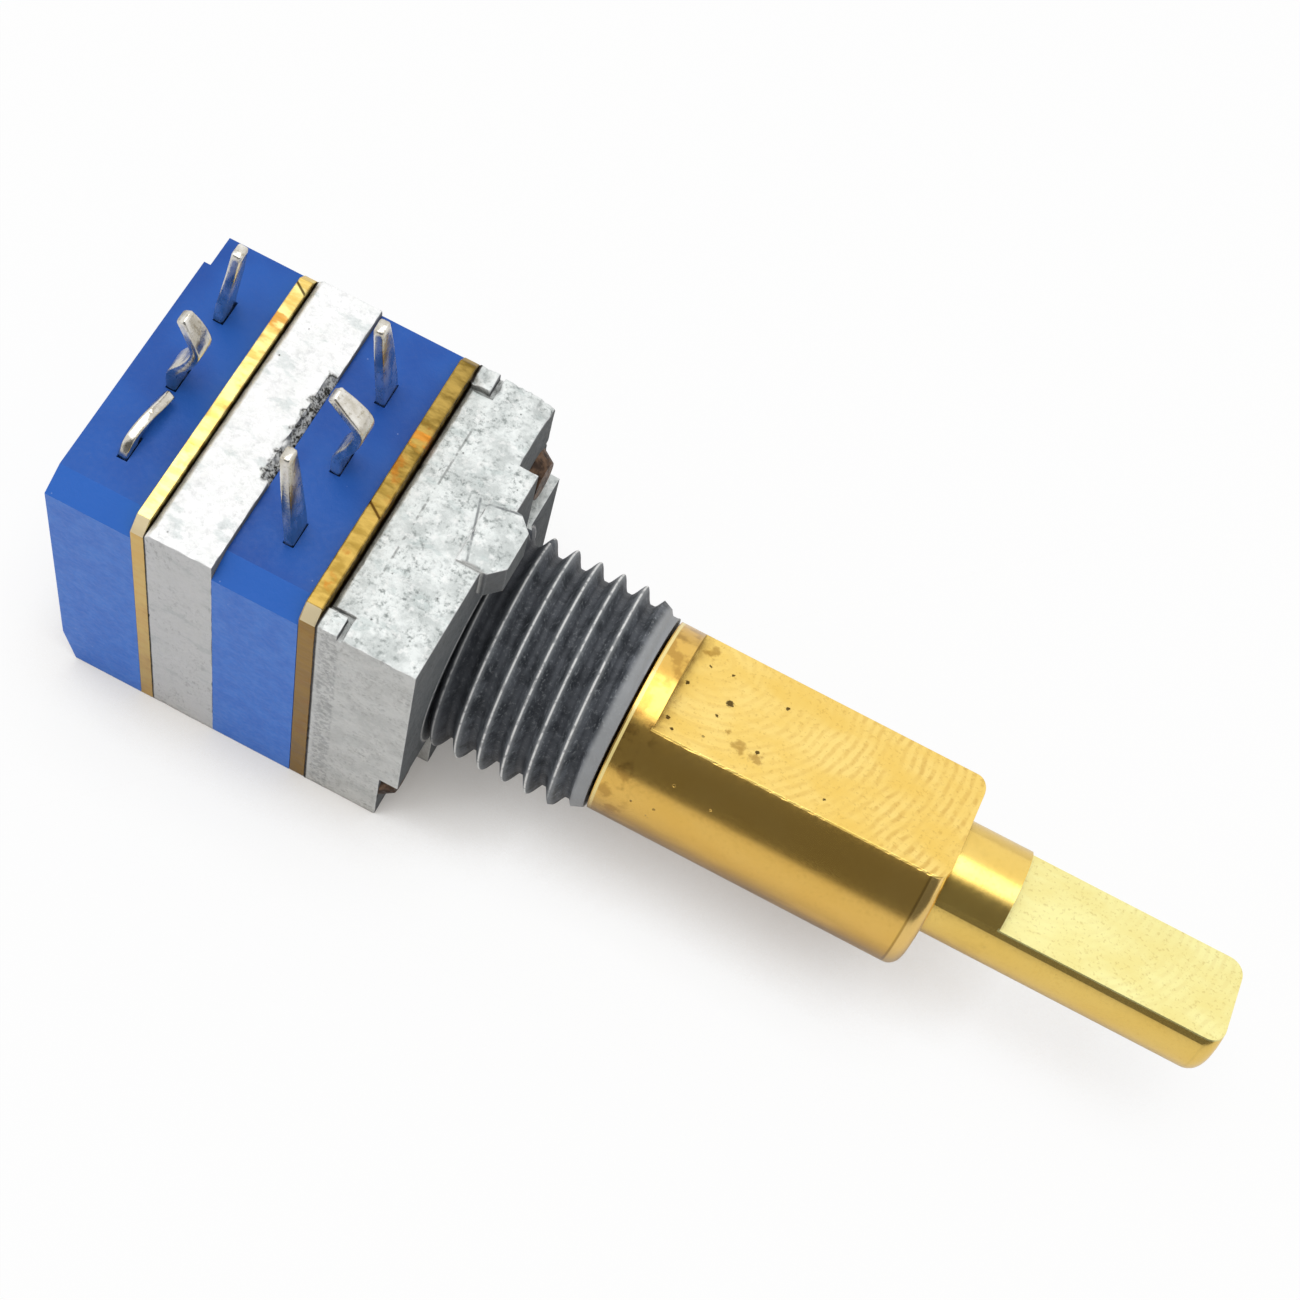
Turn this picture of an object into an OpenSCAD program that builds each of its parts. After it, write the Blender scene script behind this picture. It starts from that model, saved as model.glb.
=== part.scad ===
// Dual rotary potentiometer with two concentric shafts, lying with its terminals up.
// The shafts run along X and point to +X, Z is up, and the origin is on the shaft axis
// at the mounting face of the cast block. All sizes are in millimetres.

/* [Body] */
// Wall between a gang's round cavity and the sides
side_wall = 0.65; // [0.5:0.05:1.5]
// Wall between a gang's round cavity and the bottom face
base_wall = 0.75; // [0.6:0.05:2]
// Wall between a gang's round cavity and the terminal side
top_wall = 1.75; // [1.5:0.05:3]

/* [Bushing block] */
// Thickness of the cast block behind its mounting face
block_t = 3; // [2.6:0.1:5]
// Depth of the two corner reliefs in the mounting face
relief_depth = 0.6; // [0.3:0.05:1]
// Distance from the shaft axis to a relief, across the block
relief_from_y = 2.4; // [2:0.05:2.8]
// Distance from the shaft axis to a relief, up or down
relief_from_z = 2.05; // [1.6:0.05:2.2]
// Width of the locating lug
lug_w = 2.1; // [1.6:0.1:2.8]
// Reach of the lug in front of the mounting face
lug_reach = 0.6; // [0.4:0.05:1.2]
// Length of the lug's raised top behind the mounting face
lug_back = 0.75; // [0.4:0.05:1.4]
// Height of the lug from top to underside
lug_h = 1.3; // [0.8:0.05:1.6]
// Rise of the lug above the block's top
lug_rise = 0.1; // [0.05:0.05:0.3]
// Side length of the two square pads on the block's top
pad_side = 0.65; // [0.5:0.05:1.2]
// Rise of the pads above the block's top
pad_rise = 0.1; // [0.05:0.05:0.4]
// Width and depth of the groove around a pad
pad_groove = 0.15; // [0.1:0.05:0.3]
// Chamfer on the castings' rear top edge
cast_chamfer = 0.2; // [0.1:0.05:0.3]

/* [Bushing] */
// Thread diameter of the bushing
bush_d = 7; // [6.6:0.1:9]
// Length of the bushing in front of the mounting face
bush_len = 5; // [4:0.5:10]
// Size of the chamfer at the bushing's end
bush_chamfer = 0.4; // [0.2:0.05:0.6]

/* [Outer shaft] */
// Diameter of the outer shaft where the knob sits
outer_d = 6; // [5.8:0.1:7]
// Distance from the mounting face to the outer shaft's end
outer_reach = 15; // [11:0.5:30]
// Length of the full-round collar behind the flat
collar_len = 0.8; // [0.5:0.1:2]
// Height of the outer shaft across its flat
outer_across = 5.15; // [4.9:0.05:5.6]
// Rounding on the outer shaft's end
outer_edge = 0.4; // [0.1:0.05:0.5]
// Wall of the outer shaft's journal, which turns in the bushing
journal_wall = 0.72; // [0.6:0.01:0.9]
// Depth of each of the two flats that key the front rotor
journal_key = 0.3; // [0.2:0.05:0.4]

/* [Inner shaft] */
// Diameter of the inner shaft
inner_d = 3.5; // [3:0.05:3.6]
// Distance from the mounting face to the inner shaft's tip
inner_reach = 23.9; // [22:0.1:45]
// Length of the full-round neck in front of the outer shaft
neck_len = 2; // [0.5:0.1:4]
// Height of the inner shaft across its flat
inner_across = 2.5; // [2:0.05:2.8]
// Rounding on the inner shaft's tip
inner_edge = 0.5; // [0.2:0.05:0.8]
// Depth of each of the two flats that key the rear rotor
inner_key = 0.45; // [0.3:0.05:0.6]

/* [Shaft flats] */
// Turn of both flats away from the terminal side, in degrees
flat_turn = -17; // [-60:1:60]

/* [Gangs] */
// Thickness of each blue wafer
wafer_t = 2.6; // [2.4:0.05:4]
// Drop of the chamfer along the wafers' near top edge
edge_drop = 0.4; // [0.1:0.05:0.6]
// Width of the chamfer along the wafers' near top edge
edge_run = 0.8; // [0.2:0.05:1]
// Thickness of the brass plate in front of the front wafer
front_plate_t = 0.5; // [0.3:0.05:1]
// Thickness of the brass plate in front of the rear wafer
rear_plate_t = 0.4; // [0.3:0.05:1]
// Chamfer on the plates' far top corner
plate_corner = 0.3; // [0.1:0.05:0.6]
// Rise of both plates above the wafers' top
plate_rise = 0.35; // [0.1:0.05:0.5]
// Thickness of the cast spacer between the gangs
spacer_t = 2.05; // [1.6:0.05:5]
// Rise of the spacer above the wafers' top
spacer_rise = 0.25; // [0:0.05:0.4]
// Thickness of the resistive element
element_t = 0.5; // [0.3:0.05:0.6]
// Thickness of the rotor disc
rotor_t = 0.7; // [0.5:0.05:0.8]
// Width of the collector ring
collector_w = 0.55; // [0.4:0.05:0.7]
// Width of the resistive track
track_w = 0.35; // [0.25:0.05:0.5]
// Gap between the collector ring and the track
track_gap = 0.3; // [0.2:0.05:0.5]
// Height of the stop boss on the cavity's wall
stop_h = 0.45; // [0.4:0.05:0.8]

/* [Terminals] */
// Distance between neighbouring terminals
pitch = 2.5; // [2.4:0.05:2.6]
// Width of a terminal strip
strip_w = 0.8; // [0.5:0.05:1]
// Width of a terminal strip at its tip
strip_tip_w = 0.45; // [0.3:0.05:0.6]
// Length of the taper at a strip's tip
strip_taper = 0.9; // [0.4:0.05:1.2]
// Thickness of a terminal strip
strip_t = 0.3; // [0.2:0.05:0.4]
// Height of the straight terminals above the wafer
strip_len = 4.05; // [3.5:0.05:6]
// Height of the kinked and leaning terminals above the wafer
kink_len = 3.35; // [3:0.05:5]
// Height of a terminal's straight root above the wafer
root_h = 0.2; // [0.1:0.05:0.5]
// Reach of the front middle terminal's kink
front_kink = 0.54; // [0.3:0.02:0.8]
// Reach of the rear middle terminal's kink
rear_kink = 0.72; // [0.3:0.02:0.8]
// Distance of a front terminal's tip behind its root
front_tip = 0.33; // [0.1:0.01:0.6]
// Distance of the rear middle terminal's tip in front of its root
rear_tip = 0.26; // [0.1:0.02:0.6]
// Distance that the front far terminal leans towards the middle
far_lean = 0.5; // [0.1:0.05:0.8]
// Distance that the rear far terminal leans forward
rear_lean = 0.46; // [0.1:0.02:0.8]
// Height of the crushed terminal above the wafer
crush_h = 0.7; // [0.5:0.05:1]

/* [Rivets] */
// Diameter of the two rivets that hold the stack
rivet_d = 1; // [0.8:0.05:1.1]
// Diameter of a rivet's heads
rivet_head_d = 1.7; // [1.4:0.05:1.75]
// Diameter of a rivet's closed end in the rear wafer
rivet_tail_d = 1.4; // [1.2:0.05:1.5]
// Height of a rivet's heads
rivet_head_h = 0.4; // [0.2:0.05:0.5]
// Distance from the body's side to a rivet
rivet_inset = 0.9; // [0.88:0.01:1]
// Angle of the upper rivet above the shaft's level, in degrees
rivet_angle = 39.6; // [39:0.2:43]

/* [Rings] */
// Thickness of both retaining rings
ring_t = 0.35; // [0.25:0.05:0.5]
// Width of the outer shaft's ring, from groove to rim
outer_ring_w = 1; // [0.7:0.05:1.1]
// Width of the inner shaft's ring, from groove to rim
inner_ring_w = 1; // [0.7:0.05:1.2]
// Depth of both ring grooves
groove_depth = 0.4; // [0.2:0.05:0.45]

/* [Fits] */
// Radial running clearance of a shaft in its bearing
run_gap = 0.03; // [0.02:0.01:0.06]
// Gap around a piece that is pressed, clipped or cast in
seat_gap = 0.02; // [0.01:0.01:0.05]
// Side gap of a moving piece in its recess
side_gap = 0.1; // [0.05:0.01:0.15]

/* [Hidden] */
$fn = 96;

zinc = "#b9bbb9";
resin_blue = "#3c64b4";
brass = "#cfa74a";
brass_pale = "#e0c878";
tin = "#d2d0cc";
steel = "#8a7f78";
phenolic = "#7a4a2c";
resin_black = "#2a2a2c";
bronze = "#b87c4a";

// Margin by which a cutter runs past the face that it cuts
over = 1;

// Radii of the shafts and their bearings
bush_r = bush_d / 2;
outer_r = outer_d / 2;
inner_r = inner_d / 2;
bore_r = inner_r + run_gap;
journal_r = bore_r + journal_wall;

// Radii inside a gang, from the shaft outwards
through_gap = 0.25;
contact_lap = 0.19;
through_r = inner_r + through_gap;
wiper_in = journal_r + 2 * run_gap;
collector_out = wiper_in + contact_lap;
collector_in = collector_out - collector_w;
track_in = collector_out + track_gap;
track_out = track_in + track_w;
rotor_r = track_out + side_gap / 2;
boss_r = rotor_r + side_gap;
cavity_r = boss_r + stop_h;
tab_r = cavity_r - 1.5 * side_gap;

// Outline of the body around the cavity
half_w = cavity_r + side_wall;
axis_h = cavity_r + base_wall;
top_h = cavity_r + top_wall;

// Faces of the stack along the shaft, from front to rear
front_plate_x = -block_t;
front_wafer_x = front_plate_x - front_plate_t;
spacer_x = front_wafer_x - wafer_t;
rear_plate_x = spacer_x - spacer_t;
rear_wafer_x = rear_plate_x - rear_plate_t;
stack_end_x = rear_wafer_x - wafer_t;

// Shoulders and flats of the shafts
shoulder_x = bush_len + side_gap;
flat_x = shoulder_x + collar_len;
inner_flat_x = outer_reach + neck_len;

// Depths inside a gang, counted back from the wafer's front face
strip_s = (wafer_t - strip_t) / 2;
element_s = strip_s + strip_t;
cavity_s = element_s + element_t;
rotor_s = 0.15;
wiper_s = rotor_s + rotor_t;
wiper_t = 0.12;

// Directions around the shaft axis, counted from +Y towards +Z
up = 90;
down = 270;
full_turn = 360;

// Half angles of the rotor's stop tab and of the stop boss in the cavity
tab_half = 10;
boss_half = 18.5;

// Recesses for the retaining rings
ring_play = 0.05;
outer_recess = 1.5;
outer_recess_r = journal_r - groove_depth + outer_ring_w + 2 * side_gap;
inner_recess = 0.8;
inner_recess_r = inner_r - groove_depth + inner_ring_w + 2 * side_gap;
outer_ring_x = front_plate_x + outer_recess - ring_play;
inner_ring_x = rear_plate_x + inner_recess - ring_play;
ring_mouth = 40;

// Rivets
rivet_y = half_w - rivet_inset;
rivet_z = rivet_y * tan(rivet_angle);
rivet_hole_r = rivet_d / 2 + seat_gap;
rivet_sink = rivet_head_h + 0.1;
rivet_sink_r = rivet_tail_d / 2 + side_gap;

// Worn edge on the spacer's front top edge
scar_y0 = -1.6;
scar_y1 = 2.1;
scar_x = 0.25;
scar_z = 0.3;

// Step and chamfer on the rear face of the rear wafer
step_y = 1.05;
step_depth = 0.2;
tail_x = 0.35;
tail_z = 1.5;

// Basic solids laid along the shaft axis

module x_cyl(x0, x1, r) {
    translate([x0, 0, 0]) rotate([0, 90, 0]) cylinder(h = x1 - x0, r = r);
}

module x_cone(x0, x1, r0, r1) {
    translate([x0, 0, 0]) rotate([0, 90, 0]) cylinder(h = x1 - x0, r1 = r0, r2 = r1);
}

// Bar with a rounded edge around its front end
module x_bar(x0, x1, r, edge) {
    length = x1 - x0;
    translate([x0, 0, 0]) rotate([0, 90, 0]) rotate_extrude() {
        square([r, length - edge]);
        square([r - edge, length]);
        translate([r - edge, length - edge]) intersection() {
            circle(edge);
            square(edge);
        }
    }
}

module x_slab(x0, x1) {
    translate([x0, 0, 0]) rotate([90, 0, 90]) linear_extrude(x1 - x0) children();
}

module span(x0, x1, y0, y1, z0, z1) {
    translate([x0, y0, z0]) cube([x1 - x0, y1 - y0, z1 - z0]);
}

// Part of a ring, to the same angle on both sides of its middle
module arc_block(x0, x1, r0, r1, middle, half) {
    translate([x0, 0, 0]) rotate([90, 0, 90]) rotate([0, 0, middle - half])
        rotate_extrude(angle = 2 * half) translate([r0, 0]) square([r1 - r0, x1 - x0]);
}

// Outline of a strip along its centre line, with its own width at the last point
function strip(line, w, end_w) = let (last = len(line) - 1) concat(
    [for (i = [0 : last]) [line[i][0] - (i == last ? end_w : w) / 2, line[i][1]]],
    [for (i = [last : -1 : 0]) [line[i][0] + (i == last ? end_w : w) / 2, line[i][1]]]
);

// Round bar with two flats that keys a rotor to its shaft
module key_bar(x0, x1, r, flat, gap = 0) {
    h = r - flat + gap;
    intersection() {
        x_cyl(x0, x1, r + gap);
        span(x0, x1, -r - over, r + over, -h, h);
    }
}

// Cutter that leaves a flat at the given height from the axis
module flat_cut(x0, x1, r, h) {
    rotate([flat_turn, 0, 0]) span(x0, x1, -r - over, r + over, h, r + over);
}

// The two rivets stand at opposite corners
module at_rivets() {
    for (side = [1, -1]) translate([0, side * rivet_y, side * rivet_z]) children();
}

module rivet_holes(x0, x1) {
    at_rivets() x_cyl(x0 - over, x1 + over, rivet_hole_r);
}

// Cast block, bushing and shaft support

module corner_relief(side) {
    y = side * relief_from_y;
    z = side * relief_from_z;
    far = half_w + top_h + axis_h;
    span(-relief_depth, over, min(y, side * far), max(y, side * far),
         min(z, side * far), max(z, side * far));
}

module lug_outline() {
    corner = lug_w / 5;
    polygon([
        [-lug_back, -lug_w / 2], [lug_reach - corner, -lug_w / 2], [lug_reach, -lug_w / 2 + corner],
        [lug_reach, lug_w / 2 - corner], [lug_reach - corner, lug_w / 2], [-lug_back, lug_w / 2]
    ]);
}

// Square pad on the top of the block with a groove on its two inner sides
module pad_cut(side) {
    reach = pad_side + pad_groove;
    y = side > 0 ? half_w - reach : -half_w - over;
    span(-block_t - over, -block_t + reach, y, y + reach + over, top_h - pad_groove, top_h + over);
}

module pad(side) {
    y = side > 0 ? half_w - pad_side : -half_w;
    span(-block_t, -block_t + pad_side, y, y + pad_side, top_h - pad_side, top_h + pad_rise);
}

// Cutter for the chamfer on a casting's rear top edge
module edge_cut(x, top) {
    translate([0, half_w + over, 0]) rotate([90, 0, 0]) linear_extrude(2 * (half_w + over))
        polygon([[x - over, top - cast_chamfer], [x, top - cast_chamfer], [x + cast_chamfer, top],
                 [x + cast_chamfer, top + over], [x - over, top + over]]);
}

module bushing_block() {
    color(zinc) difference() {
        union() {
            difference() {
                span(-block_t, 0, -half_w, half_w, -axis_h, top_h);
                for (side = [-1, 1]) pad_cut(side);
                edge_cut(-block_t, top_h);
            }
            x_cyl(-block_t / 2, bush_len - bush_chamfer, bush_r);
            x_cone(bush_len - bush_chamfer, bush_len, bush_r, bush_r - bush_chamfer);
            translate([0, 0, top_h + lug_rise - lug_h]) linear_extrude(lug_h) lug_outline();
            for (side = [-1, 1]) pad(side);
        }
        x_cyl(-block_t - over, bush_len + over, journal_r + run_gap);
        x_cyl(-block_t - over, -block_t + outer_recess, outer_recess_r);
        corner_relief(1);
        corner_relief(-1);
        rivet_holes(-block_t, 0);
    }
}

// Shafts and their retaining rings

module ring_groove(ring_x, r) {
    difference() {
        x_cyl(ring_x - ring_t - seat_gap, ring_x + seat_gap, r + over);
        x_cyl(ring_x - ring_t - over, ring_x + over, r - groove_depth);
    }
}

module retaining_ring(ring_x, r, w) {
    r_in = r - groove_depth + seat_gap;
    arc_block(ring_x - ring_t, ring_x, r_in, r - groove_depth + w, down, (full_turn - ring_mouth) / 2);
}

module outer_shaft() {
    rotor_end = front_wafer_x - wiper_s;
    key_x = front_wafer_x - rotor_s + side_gap;
    mouth = outer_edge / 3;
    color(brass) difference() {
        union() {
            key_bar(rotor_end, front_plate_x, journal_r, journal_key);
            x_cyl(key_x, flat_x, journal_r);
            x_bar(shoulder_x, outer_reach, outer_r, outer_edge);
        }
        x_cyl(rotor_end - over, outer_reach + over, bore_r);
        x_cone(outer_reach - mouth, outer_reach + mouth, bore_r, bore_r + 2 * mouth);
        ring_groove(outer_ring_x, journal_r);
        flat_cut(flat_x, outer_reach + over, outer_r, outer_across - outer_r);
    }
}

module outer_ring() {
    color(steel) retaining_ring(outer_ring_x, journal_r, outer_ring_w);
}

module inner_shaft() {
    rotor_end = rear_wafer_x - wiper_s;
    key_x = rear_wafer_x - rotor_s + side_gap;
    color(brass_pale) difference() {
        union() {
            key_bar(rotor_end, rear_plate_x, inner_r, inner_key);
            x_bar(key_x, inner_reach, inner_r, inner_edge);
        }
        ring_groove(inner_ring_x, inner_r);
        flat_cut(inner_flat_x, inner_reach + over, inner_r, inner_across - inner_r);
    }
}

module inner_ring() {
    color(steel) retaining_ring(inner_ring_x, inner_r, inner_ring_w);
}

// Plates and spacer of the stack

module plate_outline() {
    top = top_h + plate_rise;
    polygon([
        [-half_w, -axis_h], [half_w, -axis_h], [half_w, top - plate_corner], [half_w - plate_corner, top],
        [-half_w + edge_run / 2, top], [-half_w, top - edge_drop]
    ]);
}

module plate(x, t, hole_r) {
    color(brass) difference() {
        x_slab(x - t, x) plate_outline();
        x_cyl(x - t - over, x + over, hole_r);
        rivet_holes(x - t, x);
    }
}

module front_plate() {
    plate(front_plate_x, front_plate_t, journal_r + 2 * side_gap);
}

module rear_plate() {
    plate(rear_plate_x, rear_plate_t, through_r);
}

module spacer_block() {
    top = top_h + spacer_rise;
    color(zinc) difference() {
        span(rear_plate_x, spacer_x, -half_w, half_w, -axis_h, top);
        x_cyl(rear_plate_x - over, spacer_x + over, inner_r + run_gap);
        x_cyl(rear_plate_x - over, rear_plate_x + inner_recess, inner_recess_r);
        rivet_holes(rear_plate_x, spacer_x);
        edge_cut(rear_plate_x, top);
        translate([0, scar_y1, 0]) rotate([90, 0, 0]) linear_extrude(scar_y1 - scar_y0)
            polygon([[spacer_x - scar_x, top], [spacer_x, top - scar_z],
                     [spacer_x + over, top - scar_z], [spacer_x + over, top + over],
                     [spacer_x - scar_x, top + over]]);
    }
}

// Pieces of a gang, placed by the front face of its wafer

module wafer_outline() {
    polygon([
        [-half_w, -axis_h], [half_w, -axis_h], [half_w, top_h],
        [-half_w + edge_run, top_h], [-half_w, top_h - edge_drop]
    ]);
}

module strip_slots(x) {
    x1 = x - strip_s + seat_gap;
    x0 = x - strip_s - strip_t;
    for (i = [-1 : 1])
        span(x0, x1, i * pitch - strip_w / 2 - seat_gap, i * pitch + strip_w / 2 + seat_gap,
             collector_in, top_h + over);
}

module wafer(x) {
    color(resin_blue) {
        difference() {
            x_slab(x - wafer_t, x) wafer_outline();
            x_cyl(x - cavity_s, x + over, cavity_r);
            strip_slots(x);
            rivet_holes(x - wafer_t, x);
            children();
        }
        arc_block(x - strip_s + side_gap / 2, x, boss_r, cavity_r + side_wall / 2, up, boss_half);
    }
}

module front_wafer() {
    wafer(front_wafer_x) x_cyl(spacer_x - over, front_wafer_x, through_r);
}

module rear_wafer() {
    wafer(rear_wafer_x) {
        at_rivets() x_cyl(stack_end_x - over, stack_end_x + rivet_sink, rivet_sink_r);
        span(stack_end_x - over, stack_end_x + step_depth, half_w - step_y, half_w + over,
             rivet_z + rivet_sink_r, top_h + over);
        translate([0, half_w + over, 0]) rotate([90, 0, 0]) linear_extrude(2 * (half_w + over))
            polygon([[stack_end_x - over, -axis_h - over], [stack_end_x + tail_x, -axis_h - over],
                     [stack_end_x + tail_x, -axis_h], [stack_end_x, -axis_h + tail_z],
                     [stack_end_x - over, -axis_h + tail_z]]);
    }
}

module element(x) {
    color(phenolic) difference() {
        x_cyl(x - cavity_s, x - element_s, cavity_r - side_gap);
        x_cyl(x - cavity_s - over, x, through_r);
    }
}

module front_element() {
    element(front_wafer_x);
}

module rear_element() {
    element(rear_wafer_x);
}

module rotor(x, key_r, key_flat) {
    color(resin_black) difference() {
        union() {
            x_cyl(x - wiper_s, x - rotor_s, rotor_r);
            arc_block(x - wiper_s, x - rotor_s, rotor_r - side_gap, tab_r, down, tab_half);
        }
        key_bar(x - wiper_s - over, x, key_r, key_flat, seat_gap);
    }
}

module front_rotor() {
    rotor(front_wafer_x, journal_r, journal_key);
}

module rear_rotor() {
    rotor(rear_wafer_x, inner_r, inner_key);
}

// Spring finger that reaches back from the wiper to a contact face
module finger(x, z0, z1, reach) {
    root = x - wiper_s - wiper_t / 2;
    tip = x - reach + seat_gap;
    translate([0, 0, z0]) linear_extrude(z1 - z0) polygon([
        [root, -1], [root - wiper_t / 2, -1], [tip, 0.15], [tip, 0.3],
        [tip + wiper_t, 0.45], [tip + 2 * wiper_t, 0.45], [tip + wiper_t, 0.2], [root, -0.8]
    ]);
}

module wiper(x) {
    color(bronze) {
        difference() {
            x_cyl(x - wiper_s - wiper_t, x - wiper_s, track_out);
            x_cyl(x - wiper_s - wiper_t - over, x, wiper_in);
        }
        finger(x, -track_out + 0.05, -track_in, element_s);
        finger(x, -collector_out + 0.05, -collector_in - 0.1, strip_s);
    }
}

module front_wiper() {
    wiper(front_wafer_x);
}

module rear_wiper() {
    wiper(rear_wafer_x);
}

// Terminals, each a flat strip that starts in the middle of its wafer. The side ones have
// their foot on the element, just outside the track.

foot_z = rotor_r - strip_w;
root_z = top_h + root_h;

// Strip that leans to one side, drawn across the shaft
module side_terminal(x, y, lean, length) {
    tip = top_h + length;
    taper_y = y + lean * (length - strip_taper) / length;
    color(tin) x_slab(x - strip_s - strip_t, x - strip_s)
        polygon(strip([[y, foot_z], [y, root_z], [taper_y, tip - strip_taper], [y + lean, tip]],
                      strip_w, strip_tip_w));
}

// Strip whose bends are drawn along the shaft, as places and heights over the wafer
module bent_strip(x, y, foot, bends) {
    mid = x - strip_s - strip_t / 2;
    tip = top_h + bends[len(bends) - 1][1];
    line = concat([[mid, foot], [mid, root_z]], [for (p = bends) [mid + p[0], top_h + p[1]]]);
    intersection() {
        translate([0, y + strip_w / 2, 0]) rotate([90, 0, 0]) linear_extrude(strip_w)
            polygon(strip(line, strip_t, strip_t));
        x_slab(mid - kink_len, mid + kink_len)
            polygon(strip([[y, foot], [y, tip - strip_taper], [y, tip]], strip_w, strip_tip_w));
    }
}

// Middle terminal with a kink that grips in a board, and the collector ring at its foot
module middle_terminal(x, kink, tip_x) {
    kink_root = kink_len * 0.23;
    kink_low = kink_len * 0.65;
    kink_high = kink_len * 0.77;
    color(tin) {
        bent_strip(x, 0, collector_out - strip_t,
                   [[0, kink_root], [kink, kink_low], [kink * 0.9, kink_high], [tip_x, kink_len]]);
        difference() {
            x_cyl(x - element_s, x - strip_s, collector_out);
            x_cyl(x - element_s - over, x, collector_in);
        }
    }
}

module front_terminal_near() {
    color(tin) bent_strip(front_wafer_x, -pitch, foot_z, [[-front_tip, strip_len]]);
}

module front_terminal_middle() {
    middle_terminal(front_wafer_x, front_kink, -front_tip);
}

module front_terminal_far() {
    side_terminal(front_wafer_x, pitch, -far_lean, strip_len);
}

// Terminal that was crushed down towards the middle one
module rear_terminal_near() {
    outer_y = -pitch - strip_w / 2;
    inner_y = -pitch + strip_w / 2;
    corner = strip_w / 4;
    low_z = top_h + strip_t / 6;
    color(tin) x_slab(rear_wafer_x - strip_s - strip_t, rear_wafer_x - strip_s) polygon([
        [outer_y, foot_z], [inner_y, foot_z], [inner_y, low_z], [-strip_w, low_z],
        [-strip_w, top_h + crush_h * 0.3], [inner_y + strip_w, top_h + crush_h * 0.5],
        [inner_y - corner, top_h + crush_h], [outer_y + corner, top_h + crush_h * 0.85],
        [outer_y, top_h + crush_h * 0.4]
    ]);
}

module rear_terminal_middle() {
    middle_terminal(rear_wafer_x, rear_kink, rear_tip);
}

// Terminal that leans forward
module rear_terminal_far() {
    color(tin) bent_strip(rear_wafer_x, pitch, foot_z, [[rear_lean, kink_len]]);
}

// Both rivets, each with a head in a corner relief and one sunk in the rear wafer
module stack_rivets() {
    head_r = rivet_head_d / 2;
    tail_r = rivet_tail_d / 2;
    front = -relief_depth;
    rear = stack_end_x + rivet_sink;
    color(steel) at_rivets() {
        x_cyl(rear, front, rivet_d / 2);
        x_cone(front, front + rivet_head_h, head_r, head_r * 0.7);
        x_cone(rear - rivet_head_h, rear, tail_r * 0.8, tail_r);
    }
}

bushing_block();
outer_shaft();
outer_ring();
inner_shaft();
inner_ring();
front_plate();
front_wafer();
front_element();
front_rotor();
front_wiper();
front_terminal_near();
front_terminal_middle();
front_terminal_far();
spacer_block();
rear_plate();
rear_wafer();
rear_element();
rear_rotor();
rear_wiper();
rear_terminal_near();
rear_terminal_middle();
rear_terminal_far();
stack_rivets();
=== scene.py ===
import math

import bmesh
import bpy
from mathutils import Matrix, Vector, noise


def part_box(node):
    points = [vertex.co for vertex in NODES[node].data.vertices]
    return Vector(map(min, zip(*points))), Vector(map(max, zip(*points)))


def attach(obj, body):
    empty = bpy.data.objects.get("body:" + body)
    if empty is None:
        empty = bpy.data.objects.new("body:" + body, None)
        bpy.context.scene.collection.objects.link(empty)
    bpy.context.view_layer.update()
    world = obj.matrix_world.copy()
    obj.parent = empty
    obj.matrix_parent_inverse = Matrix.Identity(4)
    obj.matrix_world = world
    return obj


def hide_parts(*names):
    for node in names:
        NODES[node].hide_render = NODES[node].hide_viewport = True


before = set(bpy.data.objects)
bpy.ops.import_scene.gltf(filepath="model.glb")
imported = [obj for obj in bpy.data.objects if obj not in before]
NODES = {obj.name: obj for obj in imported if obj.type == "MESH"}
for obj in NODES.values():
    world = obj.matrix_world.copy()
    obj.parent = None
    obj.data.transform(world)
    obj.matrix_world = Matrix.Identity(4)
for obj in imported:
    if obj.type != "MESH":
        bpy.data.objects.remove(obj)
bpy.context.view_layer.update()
MM = 0.001
WELD = 0.0004

# Sizes read from the frame

BLOCK_LO, BLOCK_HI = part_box("bushing_block")
FLOOR_Z = BLOCK_LO.z
FRONT_PLATE_X = BLOCK_LO.x / MM
SPACER_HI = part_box("spacer_block")[1] / MM
REAR_PLATE_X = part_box("spacer_block")[0].x / MM
BUSHING_END = BLOCK_HI.x / MM
OUTER_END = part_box("outer_shaft")[1].x / MM
INNER_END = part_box("inner_shaft")[1].x / MM

# Thread of the bushing in millimetres, with its land and foot as shares of the pitch

THREAD_PITCH = 0.75
THREAD_CREST = 3.47
THREAD_ROOT = 3.03
THREAD_START = 0.68
THREAD_LAND = 0.02
THREAD_FOOT = 0.4
END_LENGTH = 1.0
END_TAPER = 0.42

# Camera at the photograph's viewing angle

CAM_PLACE = Vector((9.2372, -30.3039, 65.9766)) * MM
CAM_AZIMUTH = -8.2049
CAM_ELEVATION = 63.6366
CAM_ROLL = 19.9357
CAM_FOCAL_PX = 2522.3
IMAGE_PX = 1300


def make_camera():
    az, el, roll = (math.radians(a) for a in (CAM_AZIMUTH, CAM_ELEVATION, CAM_ROLL))
    ahead = Vector((math.sin(az) * math.cos(el), math.cos(az) * math.cos(el), -math.sin(el)))
    level = Vector((math.cos(az), -math.sin(az), 0))
    down = ahead.cross(level)
    right = level * math.cos(roll) - down * math.sin(roll)
    up = -(level * math.sin(roll) + down * math.cos(roll))
    data = bpy.data.cameras.new("camera")
    data.sensor_width = 36
    data.lens = data.sensor_width * CAM_FOCAL_PX / IMAGE_PX
    data.clip_start = 0.001
    data.clip_end = 10
    camera = bpy.data.objects.new("camera", data)
    camera.matrix_world = Matrix.Translation(CAM_PLACE) @ Matrix((right, up, -ahead)).transposed().to_4x4()
    bpy.context.scene.collection.objects.link(camera)
    bpy.context.scene.camera = camera


# Node helpers for the materials


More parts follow.
